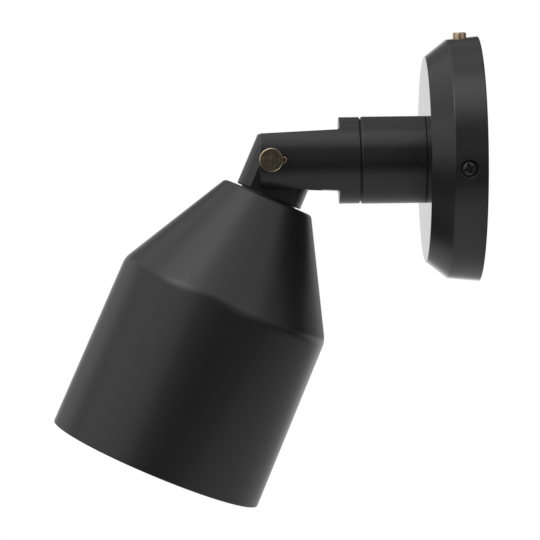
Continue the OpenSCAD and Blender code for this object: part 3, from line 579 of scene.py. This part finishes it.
def brass_finish(name, tint, dark, roughness, patina, axis, soft=0, rim_highlight=None, scratches=0.0, stain=None,
                 banded=False):
    """Turned brass whose patina is patchy and flecked with a stain, with the rings of the lathe.

    Where two radii are given for the rim, the patina fades out from the first to the second and beyond, so
    bare metal paints a highlight on the rim. A banded patina lies in rings round the axis.
    """
    made, tree, shader, vector = new_material(name)
    shader.inputs["Metallic"].default_value = 1.0
    local = along_axis(tree, vector, axis)
    rings = use_group(tree, turned_rings(), Vector=local, Pitch=3500.0)
    drawn = put(tree, "ShaderNodeMapping", vector_type="POINT", Vector=local,
                Scale=(0.15, 0.15, 4.0)).outputs[0] if banded else vector
    cloud = noise(tree, drawn, 420.0, 5.0, Roughness=0.6)
    if stain:
        fleck = noise(tree, vector, 1700.0, 4.0, Roughness=0.65)
        dark = blend_colours(tree, fade(tree, fleck, 0.42, 0.6), dark, stain)
    mask = maths(tree, "MULTIPLY_ADD", cloud, 1.1, patina - 0.55, clamp=True)
    if scratches:
        worn = use_group(tree, fine_scratches(), Vector=vector, Amount=scratches)["Mask"]
        mask = maths(tree, "SUBTRACT", mask, worn, clamp=True)
    # Painted highlight: the patina thins out toward the rim, so the rim shows bare, pale metal.
    if rim_highlight:
        away = vector_maths(tree, "LENGTH", vector_maths(tree, "MULTIPLY", local, (1, 1, 0))[0])["Value"]
        mask = maths(tree, "MULTIPLY", mask, fade(tree, away, *rim_highlight, 1.0, 0.12))
    colour_now = blend_colours(tree, mask, tint, dark)
    lined = blend_colours(tree, maths(tree, "MULTIPLY", rings["Lines"], 0.3), colour_now, dark)
    tree.links.new(lined, shader.inputs["Base Color"])
    vary_roughness(tree, shader, noise(tree, vector, 2600.0, 2.0), roughness, 0.2)
    bump = raise_skin(tree, shader, rings["Height"], 0.000012)
    if soft:
        tree.links.new(soft_edges(tree, soft), bump.inputs["Normal"])
    return made


def mottled_finish(name, tint, roughness, spread, shade, clouds, grain, detail, metallic=0.0):
    """Slow clouds between a colour and the share shade of it, and a fine skin that varies the gloss too."""
    made, tree, shader, vector = new_material(name)
    shader.inputs["Metallic"].default_value = metallic
    skin = noise(tree, vector, grain, detail)
    dim = tuple(shade * part for part in tint)
    mottled = blend_colours(tree, noise(tree, vector, clouds, 4.0), tint, dim)
    tree.links.new(mottled, shader.inputs["Base Color"])
    vary_roughness(tree, shader, skin, roughness, spread)
    raise_skin(tree, shader, skin, 0.00001)
    return made


def metal_finish(name, tint, roughness):
    """Plated steel with a slow cloud of shade and fine specks."""
    return mottled_finish(name, tint, roughness, 0.24, 0.72, 90.0, 1800.0, 3.0, metallic=1.0)


def moulded_finish(name, tint, roughness, grain=1500.0, mottle=0.12):
    """Moulded plastic, rubber, fibre or porcelain: a mottled colour and a fine skin."""
    return mottled_finish(name, tint, roughness, 0.12, 1 - 2 * mottle, grain / 12, grain, 2.0)


def striped_finish(name, tint, stripe, roughness):
    """Insulation of an earth lead: two colours in bands that wind along it."""
    made, tree, shader, vector = new_material(name)
    wave = put(tree, "ShaderNodeTexWave", Vector=vector, wave_type="BANDS", bands_direction="DIAGONAL",
               Scale=160.0, Distortion=0.4)
    edge = put(tree, "ShaderNodeMapRange", Value=wave.outputs["Fac"], From_Min=0.45, From_Max=0.55).outputs[0]
    tree.links.new(blend_colours(tree, edge, tint, stripe), shader.inputs["Base Color"])
    shader.inputs["Roughness"].default_value = roughness
    return made


def ray_kinds(tree):
    """Two outputs: 1 on camera rays, and 1 on rays that left a glossy or a clear surface."""
    path = put(tree, "ShaderNodeLightPath").outputs
    return path["Is Camera Ray"], maths(tree, "MAXIMUM", path["Is Glossy Ray"], path["Is Transmission Ray"])


def set_finish(node, material):
    """A CAD node's own mesh keeps its shape and takes a finish."""
    mesh = NODES[node].data
    mesh.materials.clear()
    mesh.materials.append(material)
    mesh.polygons.foreach_set("material_index", np.zeros(len(mesh.polygons), np.int32))
    mesh.polygons.foreach_set("use_smooth", np.ones(len(mesh.polygons), bool))


# Pieces

def report(operator, text):
    operator.report({"INFO"}, text)
    return {"FINISHED"}


class SPOTLIGHT_OT_shade(bpy.types.Operator):
    """Builds the spun shade: flat top, cone, bend and skirt, with its wall and its rolled rim"""

    bl_idname = "spotlight.shade"
    bl_label = "Build the shade"

    def execute(self, context):
        size = context.scene.spotlight_shade
        top, mouth = low_high("shade", NECK_AXIS)
        bend = top + size.cone_height
        slope = np.array((size.shoulder_radius - size.top_radius, size.cone_height))
        skirt = np.array((size.mouth_radius - size.shoulder_radius, mouth - bend))
        cone_gap = size.wall * math.tan((math.pi / 2 - math.atan2(*slope)) / 2)
        bend_turn = (math.atan2(*slope) - math.atan2(*skirt)) / 2
        bend_gap = size.wall * math.tan(bend_turn)
        outline = rounded([
            (size.hole_radius, top, 0),
            (size.top_radius, top, size.top_blend),
            (size.shoulder_radius, bend, size.shoulder_blend),
            (size.mouth_radius, mouth, size.wall / 3),
            (size.mouth_radius - size.wall, mouth, size.wall / 3),
            (size.shoulder_radius - size.wall, bend + bend_gap, size.shoulder_blend - size.wall),
            (size.top_radius - cone_gap, top + size.wall, size.top_blend - size.wall),
            (size.hole_radius, top + size.wall, 0),
        ], steps=12)
        tint = context.scene.spotlight_finishes.lacquer
        make_piece("spun_shade", [revolve(outline, NECK_AXIS, 320)], "head",
                   lacquer_finish("Lacquer on the shade", tint, axis=NECK_AXIS), ["shade"])
        return report(self, "Shade built")


class SPOTLIGHT_OT_stub(bpy.types.Operator):
    """Builds the turned stub between the canopy and the collar, with the lip in its front face"""

    bl_idname = "spotlight.stub"
    bl_label = "Build the stub"

    def execute(self, context):
        size = context.scene.spotlight_stub
        back, front = low_high("stub", WALL_AXIS)
        outline = rounded([
            (size.bore_radius, back, 0),
            (size.radius, back, size.edge / 2),
            (size.radius, front, size.edge),
            (size.radius - size.lip_inset, front, 0),
            (size.radius - size.lip_inset, front + size.lip_height, 0),
            (size.radius - size.lip_inset - size.lip_width, front + size.lip_height, 0),
            (size.radius - size.lip_inset - size.lip_width, front, 0),
            (size.well_radius, front, size.edge / 2),
            (size.well_radius, front - size.well_depth, 0),
            (size.bore_radius, front - size.well_depth, 0),
        ])
        tint = context.scene.spotlight_finishes.lacquer
        make_piece("turned_stub", [revolve(outline, WALL_AXIS, 256)], "wall_mount",
                   lacquer_finish("Lacquer on the stub", tint, axis=WALL_AXIS), ["stub"])
        return report(self, "Stub built")


class SPOTLIGHT_OT_thumb_screw(bpy.types.Operator):
    """Builds the knurled thumb screw with its shank"""

    bl_idname = "spotlight.thumb_screw"
    bl_label = "Build the thumb screw"

    def execute(self, context):
        size = context.scene.spotlight_thumb_screw
        far, face = low_high("thumb_screw", PIVOT_AXIS)
        seat = face - size.head_thickness
        columns = size.teeth * 6
        edge = size.bevel / 4
        outline = rounded([
            (0, seat, 0),
            (size.head_radius - size.bevel / 2, seat, 0),
            (size.head_radius, seat + size.bevel / 2, 0),
            (size.head_radius, face - size.bevel, edge),
            (size.head_radius - size.bevel, face, edge),
            (0, face, 0),
        ], steps=4)
        turn = full_turn(columns)
        tooth = np.abs((turn * size.teeth / (2 * np.pi)) % 1 - 0.5) * 2
        knurled = size.head_radius - size.tooth_depth * tooth ** 0.8
        radii = np.minimum(outline[:, :1], knurled[None, :])
        heights = np.repeat(outline[:, 1:], columns, axis=1)
        shank = rounded([
            (0, far, 0),
            (size.shank_radius, far, size.shank_radius / 6),
            (size.shank_radius, seat, 0),
            (0, seat, 0),
        ], steps=4)
        colours = context.scene.spotlight_finishes
        # The patina is left off the bevel and the knurl: partly a worn edge, partly a painted highlight on the
        # rim.
        rim_highlight = (size.head_radius - 1.2 * size.bevel, size.head_radius - 0.9 * size.bevel)
        finish = brass_finish("Aged brass of the thumb screw", colours.thumb_brass_and_rim_highlight, colours.patina, 0.34, 0.95,
                              PIVOT_AXIS, rim_highlight=rim_highlight, scratches=0.22, stain=colours.stain)
        shells = [polar_sheet(heights, radii, PIVOT_AXIS), revolve(shank, PIVOT_AXIS, SHANK_STEPS)]
        make_piece("knurled_thumb_screw", shells, "thumb_screw", finish, ["thumb_screw"],
                   sharp=24)
        return report(self, "Thumb screw built")


class SPOTLIGHT_OT_stop_screw(bpy.types.Operator):
    """Builds the small screw behind the thumb screw, with its rounded rim and its six-sided socket"""

    bl_idname = "spotlight.stop_screw"
    bl_label = "Build the stop screw"

    def execute(self, context):
        size, colours = context.scene.spotlight_stop_screw, context.scene.spotlight_finishes
        low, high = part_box("tilt_stop_screw")
        axis = axis_frame((0, (low.y + high.y) / 2, (low.z + high.z) / 2), X, Y)
        radius = (high.y - low.y) / 2
        columns = RING_STEPS
        turn = full_turn(columns)
        flat = size.socket_across / 2 / np.cos(turn % (np.pi / 3) - np.pi / 6)
        body = rounded([
            (0, low.x, 0),
            (radius, low.x, size.rim / 2),
            (radius, high.x, size.rim),
            (radius / 2, high.x, 0),
        ], steps=6)
        lip, depth = size.lip, size.socket_depth
        socket = np.array([(lip, 0), (lip / 2, lip / 4), (0, lip), (0, depth)])
        radii = np.concatenate([
            np.repeat(body[:, :1], columns, axis=1), flat[None, :] + socket[:, :1], np.zeros((1, columns))
        ])
        heights = np.concatenate([body[:, 1], high.x - socket[:, 1], [high.x - depth]])
        heights = np.repeat(heights[:, None], columns, axis=1)
        # The patina is left off the outer rim, so the rim shows pale copper as a painted highlight.
        finish = brass_finish("Coppery brass", colours.copper, colours.dark_copper, 0.3, 0.75, axis,
                              rim_highlight=(0.62 * radius, 0.85 * radius), stain=colours.stain)
        make_piece("socket_stop_screw", [polar_sheet(heights, radii, axis)], "arm", finish,
                   ["tilt_stop_screw"])
        return report(self, "Stop screw built")


class SPOTLIGHT_OT_side_screws(bpy.types.Operator):
    """Builds the two pan heads with a cross recess in the canopy's rim"""

    bl_idname = "spotlight.side_screws"
    bl_label = "Build the side screws"

    def execute(self, context):
        size = context.scene.spotlight_small_parts
        low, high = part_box("canopy_screws")
        middle = (np.array(low) + np.array(high)) / 2
        seat = high.x - size.pan_height
        columns, radius, height = 160, size.pan_radius, size.pan_height
        share = np.linspace(0, 1, 48) ** 0.8
        turn = full_turn(columns)
        radii = np.repeat((radius * share)[:, None], columns, axis=1)
        flatness, steepness = 3.4, 0.42
        crown = height * np.clip(1 - share ** flatness, 0, 1) ** steepness
        x, y = radii * np.cos(turn - size.cross_turn), radii * np.sin(turn - size.cross_turn)

        def arm(a, b):
            across = smooth_step((size.cross_width / 2 - np.abs(b)) / (size.cross_width / 3) + 0.5)
            along = smooth_step((size.cross_length / 2 - np.abs(a)) / (size.cross_length / 6) + 0.3)
            return across * along

        recess = size.cross_depth * np.maximum(arm(x, y), arm(y, x))
        heights = crown[:, None] - recess
        under = np.linspace(1, 0, 6)[:, None] * np.full((1, columns), radius)
        shells = []
        for sign in (-1, 1):
            axis = axis_frame((sign * seat, middle[1], middle[2]), (sign, 0, 0), Y)
            head = polar_sheet(np.concatenate([heights, np.zeros((6, columns))]),
                               np.concatenate([radii, under]), axis)
            shank = rounded([(0, -size.pan_reach, 0), (size.pan_shank, -size.pan_reach, size.pan_shank / 5),
                             (size.pan_shank, 0, 0), (0, 0, 0)], 2)
            shells += [head, revolve(shank, axis, SHANK_STEPS)]
        make_piece("pan_head_screws", shells, "wall_mount",
                   lacquer_finish("Blackened steel", context.scene.spotlight_finishes.blackened, 0.27),
                   ["canopy_screws"])
        return report(self, "Side screws built")


class SPOTLIGHT_OT_button(bpy.types.Operator):
    """Builds the push button with its rounded edge and its skirt"""

    bl_idname = "spotlight.button"
    bl_label = "Build the push button"

    def execute(self, context):
        size = context.scene.spotlight_small_parts
        low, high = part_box("switch_button")
        skirt = (high.x - low.x) / 2
        axis = axis_frame(((low.x + high.x) / 2, (low.y + high.y) / 2, 0), Z, X)
        step = low.z + size.button_skirt
        outline = rounded([
            (0, low.z, 0),
            (skirt, low.z, size.button_edge / 3),
            (skirt, step, 0),
            (size.button_radius, step, 0),
            (size.button_radius, high.z, size.button_edge),
            (0, high.z, 0),
        ])
        colours = context.scene.spotlight_finishes
        finish = brass_finish("Brass of the button", colours.tan_brass, colours.aged_brass, 0.26, 0.3, axis,
                              banded=True)
        make_piece("push_button", [revolve(outline, axis, RING_STEPS)], "button", finish, ["switch_button"])
        return report(self, "Push button built")


class SPOTLIGHT_OT_joint_cable(bpy.types.Operator):
    """Builds the piece of cable that bends over the tilting joint"""

    bl_idname = "spotlight.joint_cable"
    bl_label = "Build the joint's cable"

    def execute(self, context):
        size = context.scene.spotlight_small_parts
        start = np.array((0, -low_high("arm_cable", WALL_AXIS)[1], 0))
        finish = NECK_AXIS[0] + DOWN * low_high("head_cable", NECK_AXIS)[0]
        lean = np.linalg.norm(start - PIVOT) / 4
        drop = low_high("head_cable", NECK_AXIS)[0] - size.cable_aim
        handles = np.array([
            start, start - Y * lean, finish - DOWN * (drop + lean) + BEHIND * lean / 2, finish
        ])
        t = np.linspace(0, 1, 40)[:, None]
        path = ((1 - t) ** 3 * handles[0] + 3 * (1 - t) ** 2 * t * handles[1]
                + 3 * (1 - t) * t ** 2 * handles[2] + t ** 3 * handles[3])
        path = np.concatenate([path[:1], path, path[-1:]])
        tint = context.scene.spotlight_finishes.sheath
        piece = make_piece("bending_cable", [tube(path, size.cable_radius)], None,
                           moulded_finish("Cable sheath over the joint", tint, 0.55), ["joint_cable"])
        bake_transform(piece)
        return report(self, "Joint cable built")


class SPOTLIGHT_OT_cad_finishes(bpy.types.Operator):
    """Gives every CAD node that stays in sight its own finish"""

    bl_idname = "spotlight.cad_finishes"
    bl_label = "Finish the CAD nodes"

    def execute(self, context):
        colours, edges = context.scene.spotlight_finishes, context.scene.spotlight_edges
        lacquer = colours.lacquer
        finishes = {
            lacquer_finish("Lacquer on the canopy", lacquer, axis=WALL_AXIS, soft=edges.canopy,
                           glancing=0.25): ["canopy"],
            lacquer_finish("Lacquer on the fork arm", lacquer, soft=edges.arm): ["fork_arm"],
            lacquer_finish("Lacquer on the neck", lacquer, soft=edges.neck): ["neck"],
            lacquer_finish("Lacquer on the spacer", lacquer): ["shade_spacer"],
            brass_finish("Aged brass of the nut", colours.brass, colours.aged_brass, 0.34, 0.8, PIVOT_AXIS,
                         edges.nut): ["pivot_nut"],
            metal_finish("Zinc-plated steel", colours.zinc, 0.4): [
                "mounting_strip", "earth_tag", "swivel_tube", "canopy_nut", "lock_washer", "stub_nut",
                "swivel_stop_pin", "spring_washer", "swivel_nut", "shade_tube", "shade_washer", "shade_nut",
            ],
            brass_finish("Bare brass", colours.brass, colours.aged_brass, 0.3, 0.2, WALL_AXIS): [
                "earth_screw", "terminal_screws", "switch_lugs", "lampholder_screws", "screw_shell",
                "centre_contact",
            ],
            moulded_finish("White nylon", colours.nylon, 0.45): ["terminal_block"],
            moulded_finish("Pressed fibre", colours.fibre, 0.7, 2400.0, 0.2):
                ["swivel_washer", "tilt_washers"],
            moulded_finish("Black phenolic", colours.phenolic, 0.3):
                ["switch_body", "lampholder_cap", "lampholder_body"],
            moulded_finish("Glazed porcelain", colours.porcelain, 0.15, 300.0, 0.04):
                ["lampholder_insulator"],
            moulded_finish("Cable sheath", colours.sheath, 0.55): ["arm_cable", "head_cable"],
            moulded_finish("Lead insulation", colours.leads, 0.5):
                ["switch_leads", "canopy_leads", "lamp_leads"],
            striped_finish("Earth insulation", colours.earth, colours.earth_stripe, 0.5): ["earth_lead"],
        }
        for material, nodes in finishes.items():
            for node in nodes:
                set_finish(node, material)
        return report(self, "CAD nodes finished")


class SPOTLIGHT_OT_studio(bpy.types.Operator):
    """Sets up the camera, the pale floor and the soft surroundings"""

    bl_idname = "spotlight.studio"
    bl_label = "Set up the studio"

    def execute(self, context):
        scene, size = context.scene, context.scene.spotlight_studio
        scene.view_settings.view_transform = "Standard"
        yaw, pitch, roll = (math.radians(a) for a in (size.camera_yaw, size.camera_pitch, size.camera_roll))
        ahead = Vector((-math.cos(yaw) * math.cos(pitch), math.sin(yaw) * math.cos(pitch), math.sin(pitch)))
        right = ahead.cross(Vector(Z)).normalized()
        up = right.cross(ahead)
        side = right * math.cos(roll) + up * math.sin(roll)
        top = up * math.cos(roll) - right * math.sin(roll)
        camera = bpy.data.objects.new("Camera", bpy.data.cameras.new("Camera"))
        facing = Matrix((side, top, -ahead)).transposed().to_4x4()
        camera.matrix_world = Matrix.Translation(size.camera_place) @ facing
        camera.data.lens = size.lens
        scene.collection.objects.link(camera)
        scene.camera = camera
        self.make_floor(size)
        self.make_world(scene)
        return report(self, "Studio set up")

    def make_floor(self, size):
        """Pale round floor that keeps the light's shadow and turns pure white further out.

        Reflections see that white behind the light only, because the studio is dark round the camera.
        """
        low = CAD_BOX[0].z - size.floor_drop
        made = bpy.data.materials.new("Pale floor")
        made.use_nodes = True
        tree = made.node_tree
        tree.nodes.clear()
        vector = put(tree, "ShaderNodeTexCoord").outputs["Object"]
        share = fade(tree, vector_maths(tree, "LENGTH", vector)["Value"], *FLOOR_WHITE)
        ahead = put(tree, "ShaderNodeSeparateXYZ", Vector=vector).outputs["X"]
        behind = fade(tree, ahead, *FLOOR_MIRRORED, 1.0, 0.0)
        direct, mirrored = ray_kinds(tree)
        seen = maths(tree, "MAXIMUM", direct, mirrored)
        bright = maths(tree, "MAXIMUM", direct, maths(tree, "MULTIPLY", mirrored, behind))
        matt = put(tree, "ShaderNodeBsdfDiffuse", Color=(0.86, 0.86, 0.86, 1))
        white = put(tree, "ShaderNodeEmission", Color=(1, 1, 1, 1), Strength=bright)
        lit = put(tree, "ShaderNodeMixShader", Fac=maths(tree, "MULTIPLY", share, seen))
        tree.links.new(matt.outputs[0], lit.inputs[1])
        tree.links.new(white.outputs[0], lit.inputs[2])
        clear = put(tree, "ShaderNodeBsdfTransparent")
        under = put(tree, "ShaderNodeMixShader", Fac=put(tree, "ShaderNodeNewGeometry").outputs["Backfacing"])
        tree.links.new(lit.outputs[0], under.inputs[1])
        tree.links.new(clear.outputs[0], under.inputs[2])
        end = put(tree, "ShaderNodeOutputMaterial")
        tree.links.new(under.outputs[0], end.inputs["Surface"])
        mesh = bpy.data.meshes.new("floor")
        turn = full_turn(RING_STEPS)
        rim = np.stack([np.cos(turn), np.sin(turn), np.zeros(RING_STEPS)], axis=1) * size.floor_radius
        rim[:, 2] = low
        mesh.from_pydata(rim.tolist(), [], [list(range(RING_STEPS))])
        mesh.materials.append(made)
        floor = bpy.data.objects.new("floor", mesh)
        bpy.context.scene.collection.objects.link(floor)

    def make_world(self, scene):
        """White for the camera. Everything else sees soft panels, each brightest along its own direction.

        Glossy and transmission rays that leave toward the backdrop see its white too.
        """
        world = bpy.data.worlds.new("Studio")
        scene.world = world
        world.use_nodes = True
        tree = world.node_tree
        tree.nodes.clear()
        direction = put(tree, "ShaderNodeTexCoord").outputs["Generated"]

        def lobe(name, turn, height, inner, outer, strength):
            turn, height, inner, outer = np.radians((turn, height, inner, outer))
            middle = (np.cos(height) * np.cos(turn), np.cos(height) * np.sin(turn), np.sin(height))
            facing = vector_maths(tree, "DOT_PRODUCT", direction, middle, label=name)["Value"]
            return fade(tree, facing, np.cos(outer), np.cos(inner), 0.0, strength)

        total = lobe(*PANELS[0])
        for panel in PANELS[1:]:
            total = maths(tree, "ADD", total, lobe(*panel))
        direct, mirrored = ray_kinds(tree)
        behind = maths(tree, "MULTIPLY", mirrored, lobe("Backdrop", *BACKDROP, 1.0))
        level = put(tree, "ShaderNodeMix", data_type="FLOAT", Factor=maths(tree, "MAXIMUM", direct, behind))
        tree.links.new(total, level.inputs[2])
        level.inputs[3].default_value = 1.0
        light = put(tree, "ShaderNodeBackground", Color=(1, 1, 1, 1), Strength=level.outputs[0])
        end = put(tree, "ShaderNodeOutputWorld")
        tree.links.new(light.outputs[0], end.inputs["Surface"])


# Name, turn of its middle from +X toward +Y, height of its middle, half angle of full strength, half angle
# of its end, and strength. Angles are in degrees.
PANELS = [
    ("Overhead", 0, 90, 4, 30, 0.44),
    ("Front, high", 0, 60, 4, 30, 1.02),
    ("Front left, high", 300, 60, 4, 30, 1.14),
    ("Back left, high", 240, 60, 4, 30, 0.6),
    ("Back, high", 180, 60, 4, 30, 0.31),
    ("Front right", 40, 33, 4, 28, 0.94),
    ("Right", 80, 33, 4, 28, 0.1),
    ("Back, just left", 200, 33, 4, 28, 0.25),
    ("Back left", 240, 33, 4, 28, 0.45),
    ("Left", 280, 33, 4, 28, 0.61),
    ("Front left", 320, 33, 4, 28, 0.46),
    ("Key", 317, 46, 5, 21, 1.9),
    ("Right, low", 60, 8, 4, 40, 0.4),
    ("Back right, low", 135, 8, 4, 26, 0.35),
    ("Back left, low", 225, 8, 4, 26, 0.5),
    ("Left, low", 255, 8, 4, 26, 0.33),
    ("Left toward the front, low", 285, 8, 4, 26, 0.62),
    ("Front left, low", 315, 8, 4, 26, 0.72),
    ("Front, low", 345, 8, 4, 26, 0.24),
    ("Right of the front, low", 24, 4, 3, 16, 0.4),
    ("Back, just right, low", 160, 4, 4, 22, 0.4),
]
BACKDROP = (186, 0, 8, 24)
FLOOR_WHITE = (0.45, 1.0)     # distance from the middle where the floor starts and ends to turn white, in m
FLOOR_MIRRORED = (-1.1, 0.0)  # x up to which reflections see that white in full, and from which they don't


class SPOTLIGHT_PT_panel(bpy.types.Panel):
    """Lists the operators that build the light and the sizes that they use"""

    bl_label = "Spotlight"
    bl_idname = "SPOTLIGHT_PT_panel"
    bl_space_type = "VIEW_3D"
    bl_region_type = "UI"
    bl_category = "Spotlight"

    def draw(self, context):
        for operator in OPERATORS:
            self.layout.operator(operator.bl_idname)
        for name, group in GROUPS.items():
            box = self.layout.box()
            box.label(text=group.__doc__)
            for prop in group.__annotations__:
                box.prop(getattr(context.scene, name), prop)


GROUPS = {
    "spotlight_shade": ShadeSizes,
    "spotlight_stub": StubSizes,
    "spotlight_thumb_screw": ThumbScrewSizes,
    "spotlight_stop_screw": StopScrewSizes,
    "spotlight_edges": EdgeSizes,
    "spotlight_small_parts": SmallPartSizes,
    "spotlight_finishes": FinishColours,
    "spotlight_studio": StudioSettings,
}
OPERATORS = [
    SPOTLIGHT_OT_studio,
    SPOTLIGHT_OT_shade,
    SPOTLIGHT_OT_stub,
    SPOTLIGHT_OT_thumb_screw,
    SPOTLIGHT_OT_stop_screw,
    SPOTLIGHT_OT_side_screws,
    SPOTLIGHT_OT_button,
    SPOTLIGHT_OT_joint_cable,
    SPOTLIGHT_OT_cad_finishes,
]


def register():
    for group in GROUPS.values():
        bpy.utils.register_class(group)
    for name, group in GROUPS.items():
        setattr(bpy.types.Scene, name, bpy.props.PointerProperty(type=group))
    for operator in OPERATORS:
        bpy.utils.register_class(operator)
    bpy.utils.register_class(SPOTLIGHT_PT_panel)


def unregister():
    bpy.utils.unregister_class(SPOTLIGHT_PT_panel)
    for operator in reversed(OPERATORS):
        bpy.utils.unregister_class(operator)
    for name in GROUPS:
        delattr(bpy.types.Scene, name)
    for group in reversed(list(GROUPS.values())):
        bpy.utils.unregister_class(group)


def main():
    register()
    for operator in OPERATORS:
        module, name = operator.bl_idname.split(".")
        getattr(getattr(bpy.ops, module), name)()


if __name__ == "__main__":
    main()
